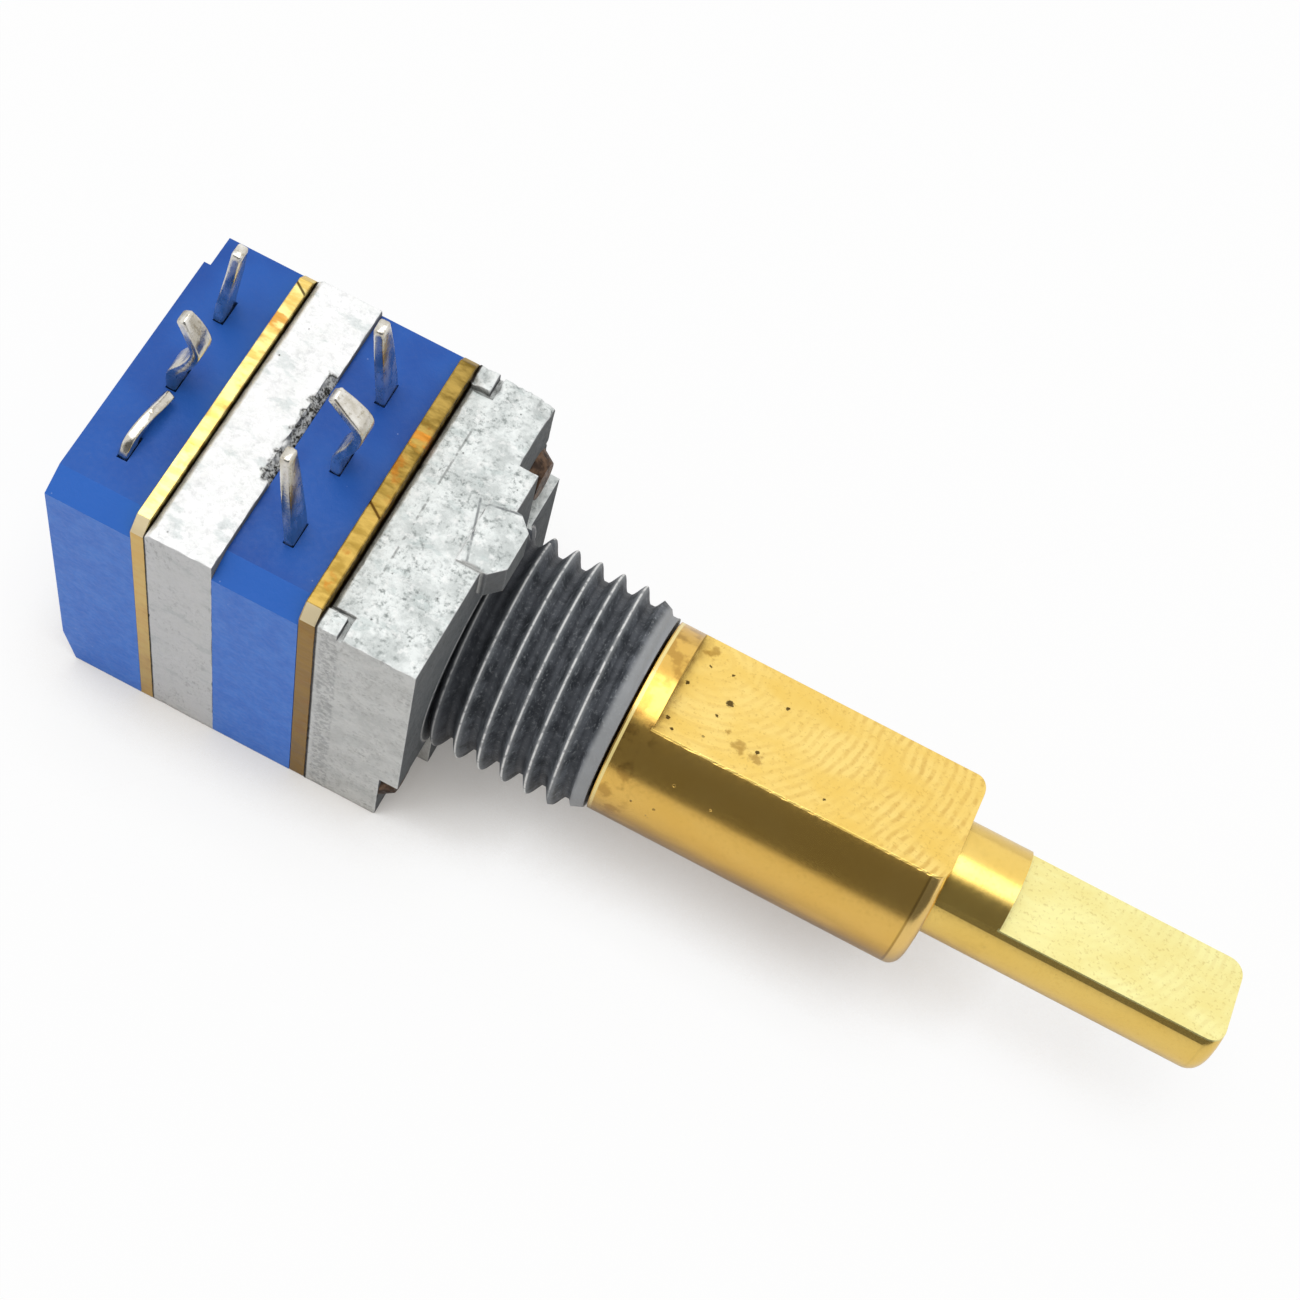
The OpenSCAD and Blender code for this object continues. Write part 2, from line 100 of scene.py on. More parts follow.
class Shader:
    """A material whose nodes are added by short calls. Texture sizes are in millimetres."""

    def __init__(self, name, metallic, roughness, **fixed):
        self.material = bpy.data.materials.new(name)
        self.material.use_nodes = True
        self.nodes = self.material.node_tree.nodes
        self.links = self.material.node_tree.links
        self.bsdf = self.nodes["Principled BSDF"]
        self.bsdf.inputs["Metallic"].default_value = metallic
        self.bsdf.inputs["Roughness"].default_value = roughness
        for key, value in fixed.items():
            self.bsdf.inputs[key.replace("_", " ")].default_value = value
        here = self.add("ShaderNodeTexCoord")
        self.place = here.outputs["Object"]
        self.facing = here.outputs["Normal"]

    def add(self, kind, **settings):
        node = self.nodes.new(kind)
        for key, value in settings.items():
            setattr(node, key, value)
        return node

    def put(self, socket, value):
        if isinstance(value, bpy.types.NodeSocket):
            self.links.new(value, socket)
        else:
            socket.default_value = value

    def math(self, operation, a, b=0.0):
        node = self.add("ShaderNodeMath", operation=operation)
        self.put(node.inputs[0], a)
        self.put(node.inputs[1], b)
        return node.outputs[0]

    def scaled(self, stretch=(1, 1, 1)):
        """The place on the part in millimetres, with each axis times its factor."""
        node = self.add("ShaderNodeMapping", vector_type="TEXTURE")
        self.put(node.inputs["Vector"], self.place)
        node.inputs["Scale"].default_value = [MM / s for s in stretch]
        return node.outputs["Vector"]

    def noise(self, size, stretch=(1, 1, 1), detail=3.0, rough=0.55):
        node = self.add("ShaderNodeTexNoise")
        self.put(node.inputs["Vector"], self.scaled(stretch))
        node.inputs["Scale"].default_value = 1 / size
        node.inputs["Detail"].default_value = detail
        node.inputs["Roughness"].default_value = rough
        return node.outputs["Fac"]

    def cells(self, size):
        """Distance from the nearest of a set of scattered points."""
        node = self.add("ShaderNodeTexVoronoi")
        self.put(node.inputs["Vector"], self.scaled())
        node.inputs["Scale"].default_value = 1 / size
        return node.outputs["Distance"]

    def ramp(self, value, low, high, out_low=0.0, out_high=1.0):
        node = self.add("ShaderNodeMapRange", interpolation_type="SMOOTHSTEP")
        for socket, v in zip(node.inputs, (value, low, high, out_low, out_high)):
            self.put(socket, v)
        return node.outputs["Result"]

    def mix(self, share, a, b):
        node = self.add("ShaderNodeMix", data_type="RGBA")
        self.put(node.inputs["Factor"], share)
        for socket, colour in ((node.inputs[6], a), (node.inputs[7], b)):
            self.put(socket, colour if isinstance(colour, bpy.types.NodeSocket) else rgb(colour))
        return node.outputs[2]

    def axis(self, name):
        """One coordinate of the place, in millimetres."""
        node = self.add("ShaderNodeSeparateXYZ")
        self.put(node.inputs[0], self.scaled())
        return node.outputs[name]

    def faces(self, direction, low, high):
        """1 where the surface faces a direction of the part, by the dot product's two limits."""
        node = self.add("ShaderNodeVectorMath", operation="DOT_PRODUCT")
        self.put(node.inputs[0], self.facing)
        node.inputs[1].default_value = Vector(direction).normalized()
        return self.ramp(node.outputs["Value"], low, high)

    def radius(self):
        """Distance from the shaft axis, in millimetres."""
        return self.distance(self.axis("Y"), self.axis("Z"), 0.0, 0.0)

    def distance(self, a, b, centre_a, centre_b):
        """Distance of a pair of coordinates from a centre."""
        squares = [self.math("POWER", self.math("SUBTRACT", value, centre), 2.0)
                   for value, centre in ((a, centre_a), (b, centre_b))]
        return self.math("SQRT", self.math("ADD", *squares))

    def tone(self):
        """The colour that the material has so far."""
        return self.bsdf.inputs["Base Color"].links[0].from_socket

    def occlusion_shade(self, reach):
        """1 in corners and narrow gaps that ambient occlusion finds, within a reach in millimetres; the
        materials paint shade with it.
        """
        node = self.add("ShaderNodeAmbientOcclusion", samples=3)
        node.inputs["Distance"].default_value = reach * MM
        return self.ramp(node.outputs["AO"], 0.75, 0.25)

    def both(self, *shares):
        """Product of several shares."""
        result = shares[0]
        for share in shares[1:]:
            result = self.math("MULTIPLY", result, share)
        return result

    def band(self, value, middle, half, soft):
        """1 where a value is within half of a middle, with soft ends."""
        distance = self.math("ABSOLUTE", self.math("SUBTRACT", value, middle))
        return self.ramp(distance, half + soft, half)

    def edge(self, reach):
        """1 near sharp edges and 0 elsewhere, found with a bevel of this reach in millimetres."""
        bevel = self.add("ShaderNodeBevel", samples=2)
        bevel.inputs["Radius"].default_value = reach * MM
        dot = self.add("ShaderNodeVectorMath", operation="DOT_PRODUCT")
        self.put(dot.inputs[0], bevel.outputs["Normal"])
        self.put(dot.inputs[1], self.add("ShaderNodeNewGeometry").outputs["Normal"])
        return self.ramp(dot.outputs["Value"], 0.995, 0.9)

    def bump(self, *layers):
        """Layers are (height, depth in millimetres), the finest last."""
        normal = None
        for height, depth in layers:
            node = self.add("ShaderNodeBump")
            node.inputs["Strength"].default_value = 1.0
            node.inputs["Distance"].default_value = depth * MM
            self.put(node.inputs["Height"], height)
            if normal is not None:
                self.put(node.inputs["Normal"], normal)
            normal = node.outputs["Normal"]
        self.put(self.bsdf.inputs["Normal"], normal)

    def colour(self, value):
        self.put(self.bsdf.inputs["Base Color"], value)

    def rough(self, value):
        self.put(self.bsdf.inputs["Roughness"], value)


def rgb(hex_colour):
    """A written sRGB colour such as "3c64b4" as the linear colour that Blender takes."""
    parts = [int(hex_colour[i:i + 2], 16) / 255 for i in (0, 2, 4)]
    return [p / 12.92 if p < 0.04045 else ((p + 0.055) / 1.055) ** 2.4 for p in parts] + [1]


# Materials

# Turn of both milled flats about the shaft axis, in degrees, and their sizes
FLAT_TURN = -17
OUTER_FLAT_LENGTH = 9.1
OUTER_FLAT_HEIGHT = 2.15
INNER_FLAT_LENGTH = 6.9
INNER_FLAT_HEIGHT = 0.75

# Outline of the raised lug on the block: its rear edge and far edge, and how far they slant
LUG_BACK = 0.75
LUG_SLANT = 0.3
LUG_FAR = 1.0
LUG_FAR_SLANT = 0.2

# Marks on the block: the thin line along its top and the smear on its near side
LINE_X = -2.24
LINE_Y = 0.15
LINE_HALF = 2.5
SMEAR_X = -2.55
SMEAR_HALF = 0.22

# Milling arcs: their centre, forward of the flat's start and across, and their spacing
ARC_CENTRE = (0.6, 2.0)
ARC_STEP = 0.29

# Pits and smudges of the outer flat: place along and across, and size
OUTER_PITS = [
    (7.42, 0.72, 0.13), (7.14, 1.71, 0.05), (6.1, 0.7, 0.07), (7.26, 0.11, 0.06), (6.09, -0.75, 0.07),
    (6.35, -1.07, 0.06), (8.93, 1.53, 0.07), (10.99, -0.79, 0.05), (6.45, 1.62, 0.05), (8.75, -0.4, 0.07),
]
OUTER_SMUDGES = [(8.2, -0.56, 0.28), (8.79, -0.65, 0.22), (7.75, -0.2, 0.2), (6.3, 2.1, 0.3)]


def zinc_cast(name, low, high, near_side_shade, near_side_shade_share, specks, plate_x, gap):
    """Cast zinc with painted shade on the near side and the front faces, painted highlights along the
    edges, painted shade in corners, and a dark line along the gap to a plate that is painted shadow and
    dirt.
    """
    m = Shader(name, 0.25, 0.5)
    cloud = m.noise(0.8, detail=6, rough=0.62)
    grain = m.noise(0.16, detail=4, rough=0.7)
    top = m.faces((0, 0, 1), 0.5, 0.9)
    tone = m.mix(m.ramp(cloud, 0.38, 0.6), low, high)
    smear = m.ramp(m.noise(0.45, (0.5, 1, 1), detail=4), 0.55, 0.66, 0, 0.4)
    tone = m.mix(smear, tone, "b9c6c4")
    dark = m.both(m.ramp(grain, 0.46, 0.68), m.ramp(m.noise(0.5, detail=3), 0.36, 0.62), specks)
    tone = m.mix(dark, tone, "8d9492")
    tone = m.mix(m.ramp(m.noise(0.3, detail=4, rough=0.7), 0.53, 0.66, 0, 0.5), tone, "fdfdfb")
    pits = m.both(m.ramp(m.cells(0.34), 0.11, 0.02), m.ramp(m.noise(0.8, detail=2), 0.52, 0.6))
    tone = m.mix(m.both(pits, 0.8), tone, "54544f")
    grime = m.both(m.ramp(m.noise(0.22, (1.6, 1.6, 0.8), detail=5, rough=0.7), 0.52, 0.62),
                   m.ramp(m.noise(1.2, detail=2), 0.45, 0.6), m.math("SUBTRACT", 1.0, top))
    tone = m.mix(m.both(grime, 0.45), tone, "6f6f70")
    # Painted shade: the near side is given a darker tone, as it faces away from the light.
    tone = m.mix(m.both(m.faces((0, -1, 0), 0.3, 0.8), near_side_shade_share), tone, near_side_shade)
    # Painted shade: the front faces and the lug's front sliver get a dark tone, as they face away from the
    # light.
    lug_front_shade = m.both(m.ramp(m.axis("X"), 0.02, 0.12), m.math("SUBTRACT", 1.0, top))
    front = m.math("MAXIMUM", m.faces((1, 0, 0), 0.3, 0.8), lug_front_shade)
    tone = m.mix(m.both(front, 0.88), tone, "595c60")
    # Painted highlight: edges are lightened where they would catch the light.
    tone = m.mix(m.both(m.edge(0.07), 0.5), tone, "fafafa")
    # Painted shade in corners and narrow gaps, from ambient occlusion.
    tone = m.mix(m.both(m.occlusion_shade(0.25), 0.75), tone, "4a4743")
    # Dark line along the gap to the plate: painted shadow in the gap, and dirt.
    near = m.ramp(m.axis("X"), plate_x + gap, plate_x + gap * 0.5)
    tone = m.mix(near, tone, "241c15")
    m.colour(tone)
    m.rough(m.math("ADD", m.ramp(grain, 0.3, 0.7, 0.4, 0.62), m.both(front, 0.35)))
    m.put(m.bsdf.inputs["Metallic"], m.ramp(front, 0, 1, 0.25, 0))
    m.put(m.bsdf.inputs["Specular IOR Level"], m.ramp(front, 0, 1, 0.4, 0.04))
    m.bump((cloud, 0.05), (grain, 0.035), (pits, -0.04))
    return m


def lug_rear(m):
    """Distance in front of the slanted rear edge of the raised lug."""
    return m.math("ADD", m.axis("X"), m.math("ADD", m.math("MULTIPLY", m.axis("Y"), LUG_SLANT), LUG_BACK))


def lug_far(m):
    """Distance beyond the far edge of the raised lug."""
    edge = m.math("ADD", m.math("MULTIPLY", m.axis("X"), LUG_FAR_SLANT), LUG_FAR)
    return m.math("SUBTRACT", m.axis("Y"), edge)


def marked_block(m):
    """Adds the broken line on the block's top, the lug's outline and the smear on the near side."""
    line = m.both(m.band(m.axis("X"), LINE_X, 0.015, 0.03), m.band(m.axis("Y"), LINE_Y, LINE_HALF, 0.1),
                  m.ramp(m.noise(0.5, detail=3), 0.42, 0.5), m.faces((0, 0, 1), 0.6, 0.9))
    tone = m.mix(m.both(line, 0.6), m.tone(), "6b6d6b")
    rear = m.both(m.band(lug_rear(m), 0.0, 0.015, 0.04), m.band(m.axis("Y"), 0.0, 0.95, 0.06))
    far = m.both(m.band(lug_far(m), 0.0, 0.015, 0.04), m.band(m.axis("X"), -0.2, 0.8, 0.06))
    outline = m.both(m.math("MAXIMUM", rear, far), m.faces((0, 0, 1), 0.6, 0.9),
                     m.ramp(m.noise(0.4, detail=3), 0.36, 0.5, 0.3, 0.8))
    tone = m.mix(outline, tone, "74787a")
    smear = m.both(m.band(m.axis("X"), SMEAR_X, SMEAR_HALF, 0.1), m.faces((0, -1, 0), 0.5, 0.8),
                   m.ramp(m.noise(0.18, detail=5, rough=0.7), 0.44, 0.56))
    m.colour(m.mix(m.both(smear, 0.35), tone, "66686b"))


def broken_zinc(m, y_range, front, top):
    """Adds the dark crumbled strip along the spacer's front top edge to its material."""
    middle, half = sum(y_range) / 2, (y_range[1] - y_range[0]) / 2
    crumbs = m.noise(0.13, detail=5, rough=0.75)
    wander = m.ramp(m.noise(0.5, detail=3), 0.3, 0.7, -0.14, 0.14)
    reach = m.math("ADD", m.axis("X"), wander)
    strip = m.both(m.band(m.axis("Y"), middle, half, 0.15), m.ramp(reach, front - 0.36, front - 0.24),
                   m.ramp(m.axis("Z"), top - 0.42, top - 0.36))
    spots = m.mix(m.ramp(crumbs, 0.42, 0.56), "34332f", "d2d3d0")
    m.colour(m.mix(strip, m.tone(), spots))


def thread_zinc():
    """Zinc painted darker than the block, partly its own tone and partly painted shade on the flanks, with
    painted highlights on the crests, painted shade in the roots and near the block, lightest at the
    chamfered end.
    """
    m = Shader("thread_zinc", 0.15, 0.5, Specular_IOR_Level=0.2)
    grain = m.noise(0.1, detail=4, rough=0.65)
    cloud = m.noise(0.6, detail=4)
    radius = m.radius()
    # Darker base tone: partly the zinc's own tone, partly painted shade on the flanks.
    tone = m.mix(m.ramp(cloud, 0.36, 0.62), "404449", "666a70")
    tone = m.mix(m.ramp(grain, 0.52, 0.7, 0, 0.6), tone, "a9adb0")
    # Painted shade in the thread roots.
    tone = m.mix(m.both(m.ramp(radius, THREAD_ROOT + 0.13, THREAD_ROOT + 0.01), 0.5), tone, "36383d")
    # Painted highlight: the crests are lightened, with a white line along the crest.
    tone = m.mix(m.ramp(radius, THREAD_CREST - 0.17, THREAD_CREST - 0.03, 0, 0.5), tone, "9a9ea1")
    crest = m.both(m.ramp(radius, THREAD_CREST - 0.03, THREAD_CREST - 0.004),
                   m.ramp(m.noise(0.25, detail=4), 0.38, 0.5, 0.35, 1))
    tone = m.mix(crest, tone, "f4f4f2")
    end = m.ramp(m.axis("X"), BUSHING_END - 0.5, BUSHING_END - 0.3)
    tone = m.mix(m.both(end, 0.75), tone, "b0b2b4")
    # Painted shadow: darker near the block's face, where the block and lug shade the thread.
    tone = m.mix(m.ramp(m.axis("X"), 1.3, 0.2, 0, 0.6), tone, "33353a")
    m.colour(tone)
    m.rough(m.ramp(grain, 0.3, 0.7, 0.42, 0.6))
    m.bump((grain, 0.02))
    return m.material


def blue_resin():
    """Moulded resin, painted a deeper blue on top, lighter on the side faces and in between on the chamfer
    facets as the light falls, with painted shade in corners.
    """
    m = Shader("blue_resin", 0.0, 0.36, Specular_IOR_Level=0.28)
    cloud = m.noise(2.4, detail=2)
    fine = m.noise(0.16, detail=3)
    top = m.faces((0, 0, 1), 0.3, 0.8)
    # Painted light: one resin, given a deeper tone on top faces, a lighter one on the side faces and a
    # middle one on the chamfer facets.
    painted_top_shade = m.mix(m.ramp(cloud, 0.35, 0.65), "164ea6", "1f5cb6")
    painted_side_light = m.mix(m.ramp(m.noise(0.5, detail=5, rough=0.65), 0.35, 0.65), "3574d6", "417fdd")
    tone = m.mix(m.faces((0, -1, 1), 0.88, 0.97), m.mix(top, painted_side_light, painted_top_shade), "2f6cca")
    dust = m.ramp(m.cells(0.6), 0.05, 0.02, 0, 0.4)
    tone = m.mix(dust, tone, "9db4e0")
    # Painted shade in corners and narrow gaps, from ambient occlusion.
    m.colour(m.mix(m.both(m.occlusion_shade(0.2), 0.4), tone, "0e2c74"))
    m.rough(m.ramp(fine, 0.3, 0.7, 0.3, 0.46))
    m.bump((cloud, 0.03), (fine, 0.008))
    return m.material


def shaft_brass(name, tones, emerges, end, flat_length, flat_height, marks_and_shade, milled, pits, smudges):
    """Brass with turning marks round the axis, and arcs of milling marks on the flat up to its end.

    The tones are the flat's light and deep one and the round part's. The shaft emerges at one
    station and ends at another. The share before milled scales the stains, pits and end marks and the
    painted shade towards the bottom; milled scales the milling marks.
    """
    light, deep, turned = tones
    start = end - flat_length
    m = Shader(name, 1.0, 0.3)
    tilt = math.radians(FLAT_TURN)
    along, across = m.axis("X"), m.axis("Y")
    height = m.math("ADD", m.math("MULTIPLY", across, -math.sin(tilt)),
                    m.math("MULTIPLY", m.axis("Z"), math.cos(tilt)))
    flat = m.both(m.band(height, flat_height, 0.03, 0.03), m.ramp(along, start - 0.08, start - 0.03))
    cloud = m.noise(1.3, (0.6, 1, 1), detail=4)
    fine = m.noise(0.12, detail=4, rough=0.65)
    turning = m.noise(0.06, (1, 0.03, 0.03), detail=3)
    arcs = m.distance(along, across, start + ARC_CENTRE[0], ARC_CENTRE[1])
    drift = m.math("MULTIPLY", m.noise(1.0, detail=1), 6.0)
    phase = m.math("ADD", m.math("MULTIPLY", arcs, 2 * math.pi / ARC_STEP), drift)
    milling = m.both(m.ramp(m.math("SINE", phase), -0.6, 1.0), m.ramp(cloud, 0.36, 0.6, 0.1, 1),
                     m.ramp(m.noise(0.3, detail=3), 0.34, 0.6, 0.2, 1), milled)
    tone = m.mix(m.ramp(cloud, 0.3, 0.7), deep, light)
    tone = m.mix(m.both(flat, milling, m.ramp(along, start + 1.0, end, 0.3, 1)), tone, "c8963c")
    tone = m.mix(m.both(m.ramp(fine, 0.54, 0.68), 0.25), tone, "a87e34")
    tone = m.mix(m.ramp(flat, 0, 1, 0.75, 0), tone, turned)
    streaks = m.ramp(m.noise(0.8, (0.3, 1, 1), detail=4), 0.35, 0.6, 0.6, 1)
    # Painted shade: darker towards the bottom of the shaft, in streaks, where it would mirror the shadowed
    # floor.
    low = m.both(m.ramp(m.axis("Z"), 1.0, -0.9), streaks)
    tone = m.mix(m.both(low, marks_and_shade), tone, "6c420e")
    rim = m.both(m.band(along, end - 0.22, 0.2, 0.04), m.ramp(flat, 0, 1, 0.5, 0), marks_and_shade)
    tone = m.mix(rim, tone, "ffe2a0")
    groove = m.both(m.band(along, end - 0.47, 0.02, 0.03), m.ramp(flat, 0, 1, 0.6, 0), marks_and_shade)
    tone = m.mix(groove, tone, "5a3a12")
    blot = m.ramp(m.noise(0.28, detail=3), 0.3, 0.7, -0.14, 0.14)
    for x, y, size in smudges:
        edge = m.math("ADD", m.distance(along, across, x, y), blot)
        tone = m.mix(m.both(flat, m.ramp(edge, size, size * 0.2, 0, 0.55)), tone, "96661e")
    holes = m.both(m.ramp(m.cells(0.4), 0.13, 0.06), m.ramp(m.noise(1.1, detail=3), 0.48, 0.58),
                   m.ramp(along, start + 6, start), marks_and_shade)
    for x, y, size in pits:
        edge = m.math("ADD", m.distance(along, across, x, y), m.ramp(fine, 0.3, 0.7, -0.03, 0.03))
        holes = m.math("MAXIMUM", holes, m.both(flat, m.ramp(edge, size, size * 0.6)))
    tone = m.mix(m.both(holes, 0.9), tone, "3a2408")
    stain = m.both(m.ramp(along, start + 0.5, start - 0.1), m.ramp(m.noise(0.6, detail=4), 0.46, 0.6))
    tone = m.mix(m.both(stain, marks_and_shade, 0.6), tone, "8a5a20")
    # Painted shade on the step face at the start of the flat.
    step = m.both(m.faces((1, 0, 0), 0.3, 0.8), m.ramp(along, start + 0.3, start + 0.2))
    tone = m.mix(m.both(step, 0.85), tone, "5a3810")
    # Painted shade in corners and narrow gaps, from ambient occlusion.
    tone = m.mix(m.both(m.occlusion_shade(0.3), 0.75), tone, "4a2c0c")
    # Painted highlight: a pale, less metallic streak along the edge where the shaft emerges.
    first_edge_highlight = m.both(m.band(along, emerges + 0.08, 0.03, 0.03), m.ramp(m.axis("Z"), -1.5, 1.0))
    m.colour(m.mix(first_edge_highlight, tone, "ffe89a"))
    m.put(m.bsdf.inputs["Metallic"], m.ramp(first_edge_highlight, 0, 1, 1, 0.2))
    m.rough(m.math("ADD", m.ramp(fine, 0.3, 0.7, 0.18, 0.24), m.both(flat, 0.16)))
    m.bump((cloud, 0.004), (turning, 0.001), (m.both(flat, milling), -0.012), (holes, -0.04))
    return m.material


def plate_brass(name, light, deep, rust_share, near_side_shade, mark_y, spot_y):
    """Tarnished sheet brass with a dark scratch across its edge and an orange spot, painted shade on the
    near side and in corners, a dark line along the top edges that is painted shade and glue, and a painted
    highlight on the corner facet.
    """
    m = Shader(name, 1.0, 0.34)
    streak = m.noise(0.3, (0.4, 1, 1), detail=4)
    cloud = m.noise(0.9, detail=4)
    tone = m.mix(m.ramp(streak, 0.35, 0.65), deep, light)
    rust = m.both(m.ramp(cloud, 0.52, 0.64), m.ramp(m.noise(0.3, detail=3), 0.42, 0.6), rust_share)
    tone = m.mix(rust, tone, "9a5a18")
    spot = m.ramp(m.math("ADD", m.math("ABSOLUTE", m.math("SUBTRACT", m.axis("Y"), spot_y)),
                         m.ramp(streak, 0.3, 0.7, -0.2, 0.2)), 0.3, 0.1, 0, 0.6)
    tone = m.mix(spot, tone, "d8862c")
    across = m.math("ADD", m.axis("Y"), m.math("MULTIPLY", m.axis("X"), 0.7))
    mark = m.both(m.band(across, mark_y, 0.02, 0.05), m.faces((0, 0, 1), 0.6, 0.9))
    tone = m.mix(m.both(mark, 0.9), tone, "3c2408")
    # Painted shade: the near side is given a darker tone.
    tone = m.mix(m.both(m.faces((0, -1, 0), 0.3, 0.8), 0.7), tone, near_side_shade)
    # Dark line along the top edges: painted shade at the gaps, and glue.
    tone = m.mix(m.both(m.edge(0.05), m.faces((0, 0, 1), 0.2, 0.5), 0.55), tone, "503410")
    # Painted shade in corners and narrow gaps, from ambient occlusion.
    tone = m.mix(m.both(m.occlusion_shade(0.15), 0.8), tone, "2e1a08")
    # Painted highlight: the corner facet is lightened and made less metallic.
    corner = m.faces((0, -1, 1), 0.92, 0.98)
    m.colour(m.mix(m.both(corner, 0.8), tone, "ffeec4"))
    m.put(m.bsdf.inputs["Metallic"], m.ramp(corner, 0, 1, 1, 0.3))
    m.rough(m.ramp(streak, 0.3, 0.7, 0.28, 0.46))
    m.bump((streak, 0.015), (cloud, 0.02))
    return m.material


def tin():
    """Dull tinned strip."""
    m = Shader("tin", 1.0, 0.16)
    cloud = m.noise(0.5, (1, 1, 0.4), detail=3)
    fine = m.noise(0.12, detail=3)
    tone = m.mix(m.ramp(cloud, 0.35, 0.7), "c8c2b4", "f0ede6")
    m.colour(m.mix(m.ramp(fine, 0.56, 0.7, 0, 0.5), tone, "8f8364"))
    m.rough(m.ramp(cloud, 0.3, 0.7, 0.16, 0.34))
    m.bump((cloud, 0.02), (fine, 0.006))
    return m.material


def rusty_steel():
    """Brown, rusted rivets."""
    m = Shader("rusty_steel", 0.6, 0.55)
    cloud = m.noise(0.35, detail=4)
    fine = m.noise(0.1, detail=3)
    m.colour(m.mix(m.ramp(cloud, 0.4, 0.62), "3a2a20", "725844"))
    m.rough(m.ramp(fine, 0.3, 0.7, 0.4, 0.7))
    m.bump((cloud, 0.03), (fine, 0.012))
    return m.material


def spring_steel():
    """Retaining rings."""
    m = Shader("spring_steel", 1.0, 0.3)
    fine = m.noise(0.08, (1, 0.2, 0.2), detail=3)
    m.colour(m.mix(fine, "8e8b86", "b4b1ab"))
    m.rough(m.ramp(fine, 0.3, 0.7, 0.22, 0.4))
    m.bump((fine, 0.005))
    return m.material


def board():
    """Phenolic board with a black resistive track."""
    m = Shader("board", 0.0, 0.5)
    fine = m.noise(0.14, (0.3, 1, 1), detail=4)
    track = m.band(m.radius(), 3.2, 0.17, 0.05)
    m.colour(m.mix(track, m.mix(fine, "5e3a20", "7a4a2c"), "17171a"))
    m.rough(m.ramp(fine, 0.3, 0.7, 0.4, 0.6))
    m.bump((fine, 0.01))
    return m.material


def black_resin():
    """Rotors."""
    m = Shader("black_resin", 0.0, 0.42)
    fine = m.noise(0.12, detail=3)
    m.colour(m.mix(fine, "1c1c1e", "2e2e31"))
    m.rough(m.ramp(fine, 0.3, 0.7, 0.34, 0.52))
    m.bump((fine, 0.008))
    return m.material


def bronze():
    """Wipers."""
    m = Shader("bronze", 1.0, 0.28)
    fine = m.noise(0.1, (1, 0.2, 1), detail=3)
    m.colour(m.mix(fine, "a8693a", "c88c56"))
    m.rough(m.ramp(fine, 0.3, 0.7, 0.2, 0.36))
    m.bump((fine, 0.005))
    return m.material


# Mesh helpers. Points are in millimetres.

LEAST_FLAT = 8
BEVEL_SEGMENTS = 2
BEVEL_ANGLE = 40
CASTING_ROUND = 0.07
WAFER_ROUND = 0.06
PLATE_ROUND = 0.04
SHAFT_ROUND = 0.03
FINE_SMOOTH = 20
CASTING_SMOOTH = 32
STRIP_SMOOTH = 50


def new_piece(name, mesh_data, material, body, node):
    """Makes a piece of a bmesh in millimetres that rides on a body and stands for a CAD node."""
    for v in mesh_data.verts:
        v.co *= MM
    mesh = bpy.data.meshes.new(name)
    mesh_data.normal_update()
    mesh_data.to_mesh(mesh)
    mesh_data.free()
    piece = bpy.data.objects.new(name, mesh)
    bpy.context.scene.collection.objects.link(piece)
    mesh.materials.append(material)
    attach(piece, body)
    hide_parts(node)
    return piece


def paint(material, *names):
    for name in names:
        mesh = NODES[name].data
        mesh.materials.clear()
        mesh.materials.append(material)


def smooth_by_angle(piece, degrees):
    for polygon in piece.data.polygons:
        polygon.use_smooth = True
    piece.data.set_sharp_from_angle(angle=math.radians(degrees))


def cad_copy(node):
    """A welded copy of a CAD node's mesh in millimetres, with its flat faces made whole."""
    copy = bmesh.new()
    copy.from_mesh(NODES[node].data)
    for v in copy.verts:
        v.co /= MM
    bmesh.ops.remove_doubles(copy, verts=copy.verts, dist=WELD)
    bmesh.ops.dissolve_limit(copy, angle_limit=math.radians(1), verts=copy.verts, edges=copy.edges)
    return copy


def with_modifier(mesh_data, kind, **settings):
    """The bmesh after one modifier, as a new bmesh."""
    mesh = bpy.data.meshes.new("work")
    mesh_data.to_mesh(mesh)
    mesh_data.free()
    work = bpy.data.objects.new("work", mesh)
    bpy.context.scene.collection.objects.link(work)
    modifier = work.modifiers.new("step", kind)
    for key, value in settings.items():
        setattr(modifier, key, value)
    result = bmesh.new()
    result.from_object(work, bpy.context.evaluated_depsgraph_get())
    bpy.data.objects.remove(work)
    bpy.data.meshes.remove(mesh)
    return result


def bevelled(mesh_data, width):
    return with_modifier(mesh_data, "BEVEL", width=width, segments=BEVEL_SEGMENTS, limit_method="ANGLE",
                         angle_limit=math.radians(BEVEL_ANGLE))


def cut_with(mesh_data, cutter, operation="DIFFERENCE"):
    """Boolean of two bmeshes in millimetres."""
    mesh = bpy.data.meshes.new("cutter")
    cutter.to_mesh(mesh)
    cutter.free()
    tool = bpy.data.objects.new("cutter", mesh)
    bpy.context.scene.collection.objects.link(tool)
    result = with_modifier(mesh_data, "BOOLEAN", operation=operation, solver="EXACT", object=tool)
    bpy.data.objects.remove(tool)
    bpy.data.meshes.remove(mesh)
    return result


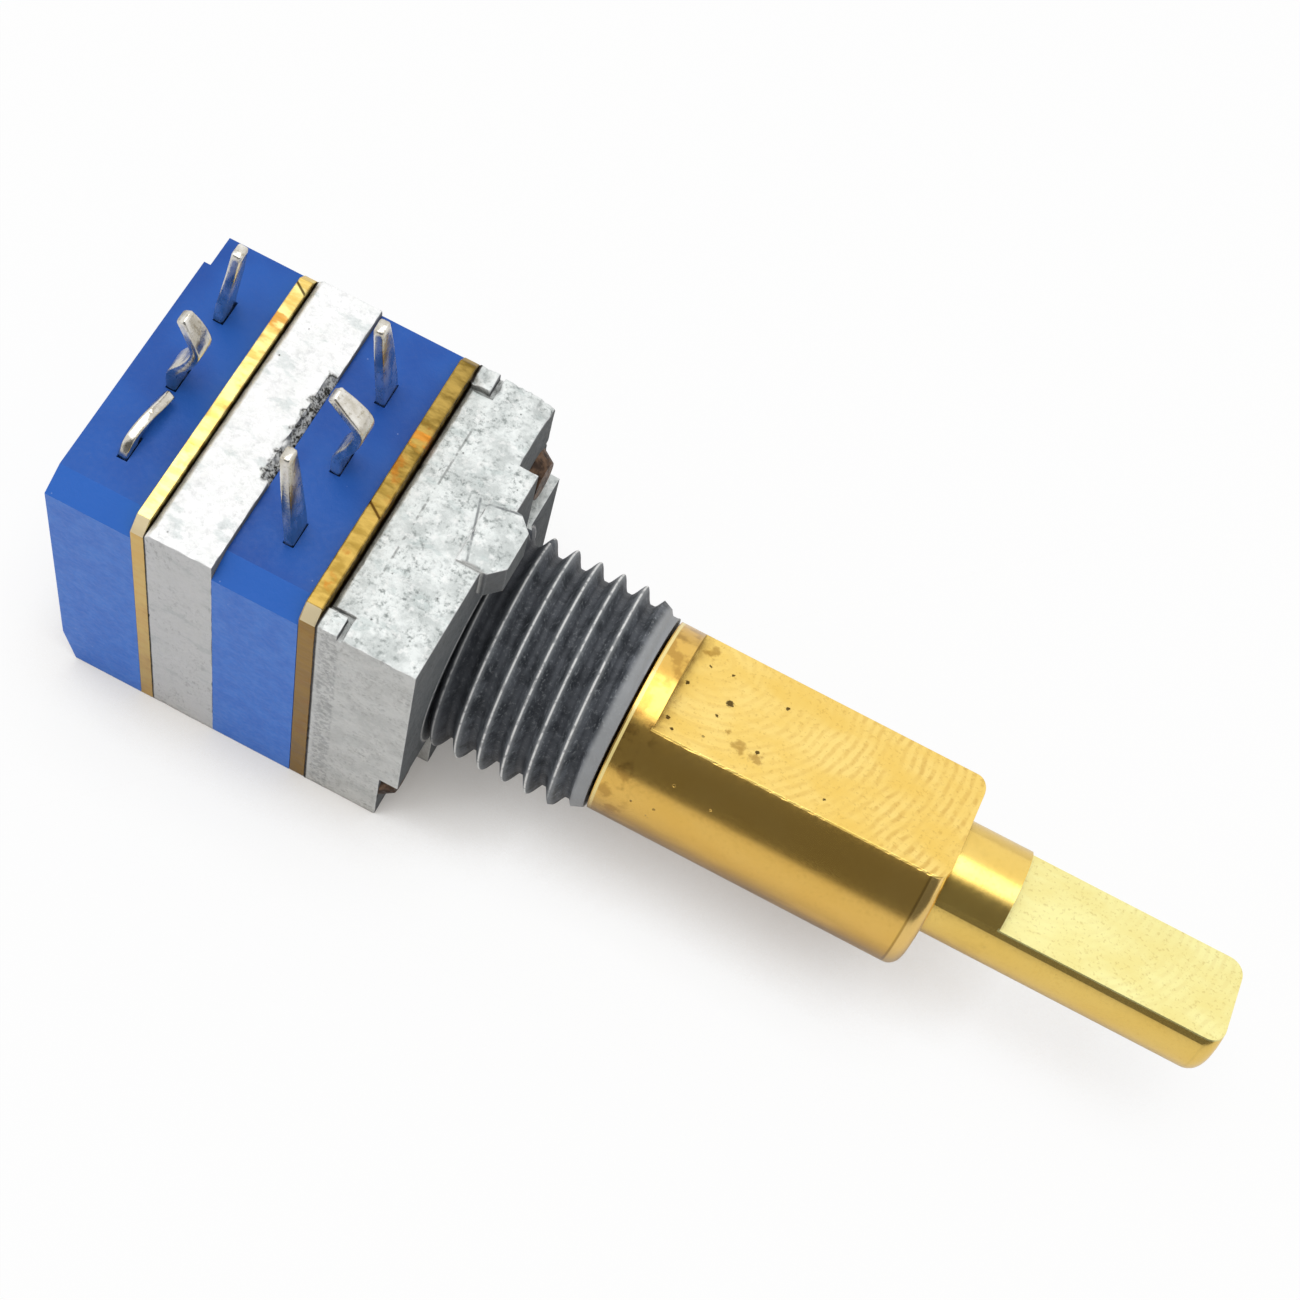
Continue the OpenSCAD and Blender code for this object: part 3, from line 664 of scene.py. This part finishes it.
def gridded(mesh_data, lo, hi):
    """Cuts a casting's mesh by planes along each axis, between two corners."""
    for axis in range(3):
        normal = Vector([1.0 if k == axis else 0.0 for k in range(3)])
        count = int((hi[axis] - lo[axis]) / CAST_STEP)
        for k in range(1, count):
            place = Vector(lo)
            place[axis] += k * (hi[axis] - lo[axis]) / count
            geometry = mesh_data.verts[:] + mesh_data.edges[:] + mesh_data.faces[:]
            bmesh.ops.bisect_plane(mesh_data, geom=geometry, dist=WELD, plane_co=place, plane_no=normal)
    return mesh_data


def displaced(mesh_data, depth_at):
    """Moves each vertex along its normal by depth_at(place, normal), in millimetres."""
    mesh_data.normal_update()
    moves = [(v, v.normal * depth_at(v.co, v.normal)) for v in mesh_data.verts]
    for v, move in moves:
        v.co += move
    return mesh_data


def softened(node, name, material, body, width):
    """A piece with the node's own shape and rounded edges. Its large faces are shaded flat."""
    piece = new_piece(name, bevelled(cad_copy(node), width), material, body, node)
    smooth_by_angle(piece, FINE_SMOOTH)
    for polygon in piece.data.polygons:
        if len(polygon.vertices) > 4 or polygon.area > LEAST_FLAT * MM ** 2:
            polygon.use_smooth = False


# Cast zinc block with its threaded bushing, and the cast spacer

THREAD_SIDES = 120
THREAD_BASE = 0.02
PAST_END = 0.4
PAST_CREST = 3.9
CAST_STEP = 0.12
CAST_WAVE = 0.012
CAST_PIT = 0.035
LUG_RISE = 0.035
FACE_MARGIN = 0.05
WEAR_REACH = 0.9
EDGE_WEAR = 0.25
EDGE_REACH = 0.95
EDGE_FADE = 0.5
CORNER_WEAR = 0.6
CORNER_X = -0.6


def thread_radius(phase):
    """Radius of the thread at a share of a pitch, with the crest at 0."""
    distance = min(phase, 1 - phase)
    straight = min(max((distance - THREAD_LAND) / (THREAD_FOOT - THREAD_LAND), 0), 1)
    rounded = 0.5 - 0.5 * math.cos(math.pi * straight)
    return THREAD_CREST + (THREAD_ROOT - THREAD_CREST) * (straight + rounded) / 2


def end_radius(x, end):
    """Radius that the thread keeps near the end of the bushing, where it is chamfered."""
    return THREAD_CREST - END_TAPER * max(0, x - (end - END_LENGTH))


def thread_cutter(x0, end, outer):
    """Ring with a helical inner wall, which leaves the thread when it is cut off a bar with this end."""
    x1 = end + PAST_END
    half_turn = [0, 0.05, 0.1, 0.16, 0.24, 0.33, 0.4]
    phases = half_turn + [0.5] + [1 - p for p in reversed(half_turn[1:])]
    first = int((x0 - THREAD_START) / THREAD_PITCH) - 2
    last = int((x1 - THREAD_START) / THREAD_PITCH) + 2
    stations = [(k, p) for k in range(first, last) for p in phases]
    cutter = bmesh.new()

    def vertex(x, radius, angle):
        return cutter.verts.new((x, radius * math.cos(angle), radius * math.sin(angle)))

    columns = []
    for a in range(THREAD_SIDES):
        angle = 2 * math.pi * a / THREAD_SIDES
        column = []
        for k, p in stations:
            x = THREAD_START + THREAD_PITCH * (k + p + a / THREAD_SIDES)
            clamped = min(max(x, x0), x1)
            phase = ((clamped - THREAD_START) / THREAD_PITCH - a / THREAD_SIDES) % 1
            radius = min(thread_radius(phase), end_radius(clamped, end))
            column.append(vertex(clamped, radius, angle))
        column.append(vertex(x1, outer, angle))
        column.insert(0, vertex(x0, outer, angle))
        columns.append(column)
    turns = len(phases)
    for a in range(THREAD_SIDES):
        here = columns[a]
        if a + 1 < THREAD_SIDES:
            there = columns[a + 1]
        else:
            inner = columns[0][1:-1]
            there = [columns[0][0]] + inner[turns:] + [inner[-1]] * turns + [columns[0][-1]]
        for k in range(len(here) - 1):
            loop = [here[k], here[k + 1], there[k + 1], there[k]]
            unique = [v for n, v in enumerate(loop) if v not in loop[:n]]
            if len(unique) > 2:
                cutter.faces.new(unique)
        cutter.faces.new([here[-1], here[0], there[0], there[-1]])
    bmesh.ops.remove_doubles(cutter, verts=cutter.verts, dist=WELD)
    bmesh.ops.dissolve_degenerate(cutter, dist=WELD, edges=cutter.edges)
    bmesh.ops.recalc_face_normals(cutter, faces=cutter.faces)
    return cutter


def cast_skin(co, normal):
    """Slight waviness and pits of a casting, stronger along its edges."""
    wave = noise.noise(co * 0.9) + 0.5 * noise.noise(co * 3.1)
    if max(abs(v) for v in normal) < 0.95:
        wave += 1.6 * noise.noise(co * 5.3)
    pit = max(0.0, noise.noise(co * 4.3 + Vector((7, 3, 1))) - 0.42)
    return CAST_WAVE * wave - CAST_PIT * pit * 4


def block_skin(co, normal):
    """The casting's skin, with the lug standing slightly proud on top."""
    if co.x > -FACE_MARGIN or co.yz.length < PAST_CREST:
        return 0.0
    depth = cast_skin(co, normal)
    if normal.z > 0.7:
        far = LUG_FAR + LUG_FAR_SLANT * co.x - co.y
        inside = min(co.x + LUG_SLANT * co.y + LUG_BACK, far, co.y + LUG_FAR)
        depth += LUG_RISE * min(max(inside / 0.1, 0), 1)
    return depth


def worn(mesh_data, hi):
    """Lowers the casting's ragged far top edge and its rounded far front corner."""
    for v in mesh_data.verts:
        place = Vector((v.co.x, v.co.y, 0))
        near_edge = min(max((v.co.y - hi.y + EDGE_REACH) / EDGE_FADE, 0), 1)
        ragged = near_edge * max(0.0, noise.noise(place * 4.7) + 0.05)
        corner = max(0.0, 1 - math.hypot(v.co.x - CORNER_X, hi.y - v.co.y) / CORNER_WEAR)
        share = min(max((v.co.z - hi.z + WEAR_REACH) / WEAR_REACH, 0), 1)
        if v.co.x < 2 * FACE_MARGIN:
            v.co.z -= share * (EDGE_WEAR * ragged + CORNER_WEAR * 0.5 * corner)
    return mesh_data


def make_block(material, thread_material):
    lo, hi = (v / MM for v in (BLOCK_LO, BLOCK_HI))
    block = bevelled(cad_copy("bushing_block"), CASTING_ROUND)
    block = gridded(block, lo, Vector((FACE_MARGIN, hi.y, hi.z)))
    block = worn(displaced(block, block_skin), hi)
    block = cut_with(block, thread_cutter(THREAD_BASE, hi.x, PAST_CREST))
    piece = new_piece("die_cast_block", block, material, "housing", "bushing_block")
    piece.data.materials.append(thread_material)
    for polygon in piece.data.polygons:
        x, y, z = polygon.center / MM
        if x > THREAD_BASE / 2 and math.hypot(y, z) < THREAD_CREST + 0.1:
            polygon.material_index = 1
    smooth_by_angle(piece, CASTING_SMOOTH)


SCAR_Y = (-1.6, 2.1)
SCAR_REACH = 0.45
SPACER_BORE_RIM = 4.2


def spacer_skin(co, normal, front, top):
    """The casting's skin, with a broken, rough strip along the front top edge and a smooth bore."""
    if co.yz.length < SPACER_BORE_RIM:
        return 0.0
    depth = cast_skin(co, normal)
    along = min(co.y - SCAR_Y[0], SCAR_Y[1] - co.y)
    near = SCAR_REACH - max(front - co.x, top - co.z)
    if along > 0 and near > 0:
        crumbs = abs(noise.noise(co * 7.0)) + 0.6 * abs(noise.noise(co * 15.0))
        depth -= 0.14 * crumbs * min(1, along * 3) * min(1, near * 5)
    return depth


def make_spacer(material):
    lo, hi = (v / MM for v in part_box("spacer_block"))
    spacer = gridded(bevelled(cad_copy("spacer_block"), CASTING_ROUND), lo, hi)
    spacer = displaced(spacer, lambda co, normal: spacer_skin(co, normal, hi.x, hi.z))
    piece = new_piece("die_cast_spacer", spacer, material, "housing", "spacer_block")
    smooth_by_angle(piece, CASTING_SMOOTH)


# Terminals

TIN_T = 0.3
TIN_W = 0.8
TIN_TIP_W = 0.45
TIN_ROUND = 0.06
ROUND_MIDDLE = 0.29
TIP_SHARE = 0.8
TIP_LENGTH = 0.04
PATH_STEPS = 6
TERMINAL_PITCH = 2.5
RING_OUTER = 2.75
RING_WIDTH = 0.55
RING_SIDES = 96

# The outer terminals' bends, from the wafer's top to the tip: forward, across, up, and width there
SIDE_BENDS = {
    "front_terminal_near": [(0, 0, 0.3, 0.8), (-0.09, 0, 1.3, 0.75), (-0.22, 0, 2.8, 0.62),
                            (-0.32, 0, 4.0, TIN_TIP_W)],
    "front_terminal_far": [(0, 0, 0.3, 0.8), (-0.02, -0.14, 1.3, 0.75), (-0.07, -0.33, 2.8, 0.62),
                           (-0.12, -0.48, 4.0, TIN_TIP_W)],
    "rear_terminal_near": [(0, 0.03, 0.05, 0.7), (0.02, 0.35, 0.3, 0.5), (0.08, 0.95, 0.38, 0.45),
                           (0.18, 1.75, 0.32, 0.3)],
    "rear_terminal_far": [(0, 0, 0.25, 0.8), (0.12, 0, 1.1, 0.75), (0.3, 0, 2.2, 0.62),
                          (0.45, 0, 3.3, TIN_TIP_W)],
}

# The middle terminals' kink and tip, forward of the strip's foot
MIDDLE_BENDS = {"front": (0.54, -0.33), "rear": (0.72, 0.26)}


def smooth_path(points):
    """Points along a smooth curve through the given ones."""
    p = [Vector(q) for q in points]
    p = [p[0] * 2 - p[1], *p, p[-1] * 2 - p[-2]]
    path = []
    for k in range(1, len(p) - 2):
        for n in range(PATH_STEPS):
            t = n / PATH_STEPS
            a, b, c, d = p[k - 1:k + 3]
            path.append(0.5 * (2 * b + (c - a) * t + (2 * a - 5 * b + 4 * c - d) * t ** 2
                               + (3 * b - a - 3 * c + d) * t ** 3))
    path.append(p[-2])
    return path


def strip_mesh(points, widths, across):
    """Flat strip with rounded edges along a smooth path. Each point has its width across."""
    path = smooth_path(points)
    spread = smooth_path([(w, 0, 0) for w in widths])
    mesh_data = bmesh.new()
    rings = []
    for k, place in enumerate(path):
        ahead = (path[min(k + 1, len(path) - 1)] - path[max(k - 1, 0)]).normalized()
        side = Vector(across)
        side = (side - ahead * side.dot(ahead)).normalized()
        out = ahead.cross(side)
        half_w, half_t = spread[k].x / 2, TIN_T / 2
        corners = []
        for su, sv in ((1, 1), (-1, 1), (-1, -1), (1, -1)):
            first = (half_w, half_t - TIN_ROUND)
            second = (half_w - TIN_ROUND, half_t)
            middle = (half_w - TIN_ROUND * ROUND_MIDDLE, half_t - TIN_ROUND * ROUND_MIDDLE)
            trio = [first, middle, second] if su == sv else [second, middle, first]
            corners += [(su * u, sv * v) for u, v in trio]
        rings.append([mesh_data.verts.new(place + side * u + out * v) for u, v in corners])
    count = len(rings[0])
    for a, b in zip(rings, rings[1:]):
        for k in range(count):
            n = (k + 1) % count
            mesh_data.faces.new([a[k], a[n], b[n], b[k]])
    for ring, lift in ((rings[0], 0), (rings[-1], TIP_LENGTH)):
        end_ahead = (path[-1] - path[-2]).normalized() * lift
        middle = sum((v.co for v in ring), Vector()) / count
        lid = [mesh_data.verts.new(middle + (v.co - middle) * TIP_SHARE + end_ahead) for v in ring]
        for k in range(count):
            n = (k + 1) % count
            mesh_data.faces.new([ring[k], ring[n], lid[n], lid[k]])
        mesh_data.faces.new(lid)
    bmesh.ops.recalc_face_normals(mesh_data, faces=mesh_data.faces)
    return mesh_data


def ring_mesh(x0, x1, r0, r1):
    """Flat ring round the shaft axis."""
    mesh_data = bmesh.new()
    loops = []
    for x, r in ((x0, r0), (x0, r1), (x1, r1), (x1, r0)):
        angles = [2 * math.pi * k / RING_SIDES for k in range(RING_SIDES)]
        loops.append([mesh_data.verts.new((x, r * math.cos(a), r * math.sin(a))) for a in angles])
    for a, b in zip(loops, loops[1:] + loops[:1]):
        for k in range(RING_SIDES):
            n = (k + 1) % RING_SIDES
            mesh_data.faces.new([a[k], a[n], b[n], b[k]])
    bmesh.ops.recalc_face_normals(mesh_data, faces=mesh_data.faces)
    return mesh_data


def make_terminal(node, mesh_data, material):
    piece = new_piece(node + "_strip", mesh_data, material, "housing", node)
    smooth_by_angle(piece, STRIP_SMOOTH)


def make_middle_terminal(gang, x, top, material):
    """A strip with a kink, in one piece with the collector ring under the wiper."""
    kink, tip = MIDDLE_BENDS[gang]
    ring = ring_mesh(x - TIN_T / 2, x + TIN_T / 2, RING_OUTER - RING_WIDTH, RING_OUTER)
    bends = [(0.03, 0.75, 0.78), (kink * 0.65, 1.5, 0.74), (kink, 2.15, 0.7), (kink * 0.93, 2.55, 0.68),
             ((kink + tip) / 2, 2.95, 0.6), (tip, 3.33, TIN_TIP_W)]
    points = [(x, 0, RING_OUTER - 0.25), (x, 0, 4.2), (x, 0, top)]
    points += [(x + forward, 0, top + up) for forward, up, _ in bends]
    strip = strip_mesh(points, [TIN_W] * 3 + [bend[2] for bend in bends], (0, 1, 0))
    make_terminal(gang + "_terminal_middle", cut_with(ring, strip, "UNION"), material)


def make_side_terminal(node, x, top, foot, material):
    """A strip that rises from its foot through the wafer's top and then follows its bends."""
    y = -TERMINAL_PITCH if node.endswith("near") else TERMINAL_PITCH
    across = (0, 1, -0.3) if node == "rear_terminal_near" else (0, 1, 0)
    points = [(x, y, foot), (x, y, top - 0.5)]
    points += [(x + forward, y + aside, top + up) for forward, aside, up, _ in SIDE_BENDS[node]]
    widths = [TIN_W] * 2 + [bend[3] for bend in SIDE_BENDS[node]]
    make_terminal(node, strip_mesh(points, widths, across), material)


def make_terminals(material):
    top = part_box("front_wafer")[1].z / MM
    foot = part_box("front_terminal_far")[0].z / MM
    for gang in ("front", "rear"):
        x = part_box(gang + "_element")[1].x / MM + TIN_T / 2
        make_middle_terminal(gang, x, top, material)
        for side in ("near", "far"):
            make_side_terminal(gang + "_terminal_" + side, x, top, foot, material)


# Stage

FLOOR_COLOUR = "f6f5f4"
FLOOR_HALF = 1.5
FLOOR_GAP = 0.02
SHADE_REACH = 4


def make_stage():
    """A pale floor that shows white to the camera and keeps the shade close to the part, with a warm shadow
    also painted there.
    """
    mesh = bpy.data.meshes.new("floor")
    corners = [(x * FLOOR_HALF, y * FLOOR_HALF, 0) for x, y in ((-1, -1), (1, -1), (1, 1), (-1, 1))]
    mesh.from_pydata(corners, [], [(0, 1, 2, 3)])
    floor = bpy.data.objects.new("floor", mesh)
    floor.location.z = FLOOR_Z - FLOOR_GAP * MM
    bpy.context.scene.collection.objects.link(floor)
    m = Shader("floor_paper", 0.0, 0.8)
    open_air = m.add("ShaderNodeAmbientOcclusion", samples=4)
    open_air.inputs["Distance"].default_value = SHADE_REACH * MM
    clear = m.ramp(open_air.outputs["AO"], 0.3, 0.95)
    fibres = m.noise(0.4, detail=3)
    # Painted shadow: a warm tone where the ambient occlusion near the part is low.
    m.colour(m.mix(m.both(clear, m.ramp(fibres, 0.2, 0.8, 0.96, 1)), "e6dccf", FLOOR_COLOUR))
    m.bump((fibres, 0.004))
    glow = m.add("ShaderNodeEmission")
    shown = m.add("ShaderNodeMixShader")
    camera_ray = m.add("ShaderNodeLightPath").outputs["Is Camera Ray"]
    m.put(shown.inputs[0], m.both(camera_ray, m.ramp(clear, 0, 1, 0.15, 0.93)))
    m.put(shown.inputs[1], m.bsdf.outputs[0])
    m.put(shown.inputs[2], glow.outputs[0])
    m.put(m.nodes["Material Output"].inputs["Surface"], shown.outputs[0])
    mesh.materials.append(m.material)


def make_lamp():
    data = bpy.data.lights.new("key", "AREA")
    data.shape = "DISK"
    data.size = LAMP_SIZE * MM
    data.energy = LAMP_POWER
    lamp = bpy.data.objects.new("key", data)
    lamp.location = Vector(LAMP_PLACE) * MM
    lamp.rotation_mode = "QUATERNION"
    lamp.rotation_quaternion = (Vector(LAMP_AIM) - Vector(LAMP_PLACE)).to_track_quat("-Z", "Y")
    bpy.context.scene.collection.objects.link(lamp)


# The dark card's direction, the cosines where it begins and is full, and the world's levels
DARK_SIDE = (0.35, -0.85, 0.4)
DARK_REACH = (0.62, 0.74)
DARK_LEVEL = 0.16
GLOSS_LEVEL = 1.0
SKY_LEVEL = 0.62

# The lamp's place, aim and size in millimetres, and its power in watts
LAMP_PLACE = (-15, 12, 150)
LAMP_AIM = (5, 0, 0)
LAMP_SIZE = 130
LAMP_POWER = 0.082


def make_light():
    """A pale world that shows white to the camera, with a dark card in front that only gloss shows."""
    world = bpy.data.worlds.new("world")
    bpy.context.scene.world = world
    world.use_nodes = True
    nodes, links = world.node_tree.nodes, world.node_tree.links

    def add(kind, operation, *values):
        node = nodes.new(kind)
        node.operation = operation
        for socket, value in zip(node.inputs, values):
            if isinstance(value, bpy.types.NodeSocket):
                links.new(value, socket)
            else:
                socket.default_value = value
        return node

    place = nodes.new("ShaderNodeTexCoord").outputs["Generated"]
    dot = add("ShaderNodeVectorMath", "DOT_PRODUCT", place, Vector(DARK_SIDE).normalized())
    level = nodes.new("ShaderNodeMapRange")
    level.interpolation_type = "SMOOTHSTEP"
    limits = (*DARK_REACH, GLOSS_LEVEL - SKY_LEVEL, DARK_LEVEL - SKY_LEVEL)
    for socket, value in zip(level.inputs[1:], limits):
        socket.default_value = value
    links.new(dot.outputs["Value"], level.inputs[0])
    path = nodes.new("ShaderNodeLightPath")
    gloss = add("ShaderNodeMath", "MULTIPLY", path.outputs["Is Glossy Ray"], level.outputs["Result"])
    seen = add("ShaderNodeMath", "MULTIPLY", path.outputs["Is Camera Ray"], 1 - SKY_LEVEL)
    extra = add("ShaderNodeMath", "ADD", gloss.outputs[0], seen.outputs[0])
    total = add("ShaderNodeMath", "ADD", extra.outputs[0], SKY_LEVEL)
    links.new(total.outputs[0], nodes["Background"].inputs["Strength"])
    nodes["Background"].inputs["Color"].default_value = (1, 1, 1, 1)


# Make everything

make_camera()
make_stage()
make_light()
make_lamp()

BLUE = blue_resin()
SPACER_ZINC = zinc_cast("spacer_zinc", "fafbfa", "ffffff", "b4b4b3", 0.6, 0.22, REAR_PLATE_X, 0.07)
broken_zinc(SPACER_ZINC, SCAR_Y, SPACER_HI.x, SPACER_HI.z)
BLOCK_ZINC = zinc_cast("block_zinc", "ced3d1", "edf1ef", "cccac6", 0.6, 1.0, FRONT_PLATE_X, 0.1)
marked_block(BLOCK_ZINC)
make_block(BLOCK_ZINC.material, thread_zinc())
make_spacer(SPACER_ZINC.material)
# The rear plate's lighter tones are partly painted light where it catches the lamp; the front plate's
# darker tones are partly its heavier tarnish.
FRONT_BRASS = plate_brass("front_plate_brass", "b2954e", "80682e", 0.6, "a07c48", -3.26, 1.6)
REAR_BRASS = plate_brass("rear_plate_brass", "fff0a0", "f0cc70", 0.35, "d0a868", -1.8, 2.9)
OUTER_BRASS = shaft_brass("outer_shaft_brass", ("ffe086", "f6d06c", "e8b85c"), BUSHING_END + 0.1, OUTER_END,
                          OUTER_FLAT_LENGTH, OUTER_FLAT_HEIGHT, 0.7, 0.5, OUTER_PITS, OUTER_SMUDGES)
INNER_BRASS = shaft_brass("inner_shaft_brass", ("fff8b0", "f8ea9a", "f2c458"), OUTER_END - 0.15, INNER_END,
                          INNER_FLAT_LENGTH, INNER_FLAT_HEIGHT, 0.1, 0.15, [], [])
softened("front_wafer", "front_blue_wafer", BLUE, "housing", WAFER_ROUND)
softened("rear_wafer", "rear_blue_wafer", BLUE, "housing", WAFER_ROUND)
softened("front_plate", "front_brass_plate", FRONT_BRASS, "housing", PLATE_ROUND)
softened("rear_plate", "rear_brass_plate", REAR_BRASS, "housing", PLATE_ROUND)
softened("outer_shaft", "outer_brass_shaft", OUTER_BRASS, "outer_shaft_group", SHAFT_ROUND)
softened("inner_shaft", "inner_brass_shaft", INNER_BRASS, "inner_shaft_group", SHAFT_ROUND)
make_terminals(tin())
paint(rusty_steel(), "stack_rivets")
paint(spring_steel(), "outer_ring", "inner_ring")
paint(board(), "front_element", "rear_element")
paint(black_resin(), "front_rotor", "rear_rotor")
paint(bronze(), "front_wiper", "rear_wiper")

bpy.context.scene.view_settings.view_transform = "Standard"
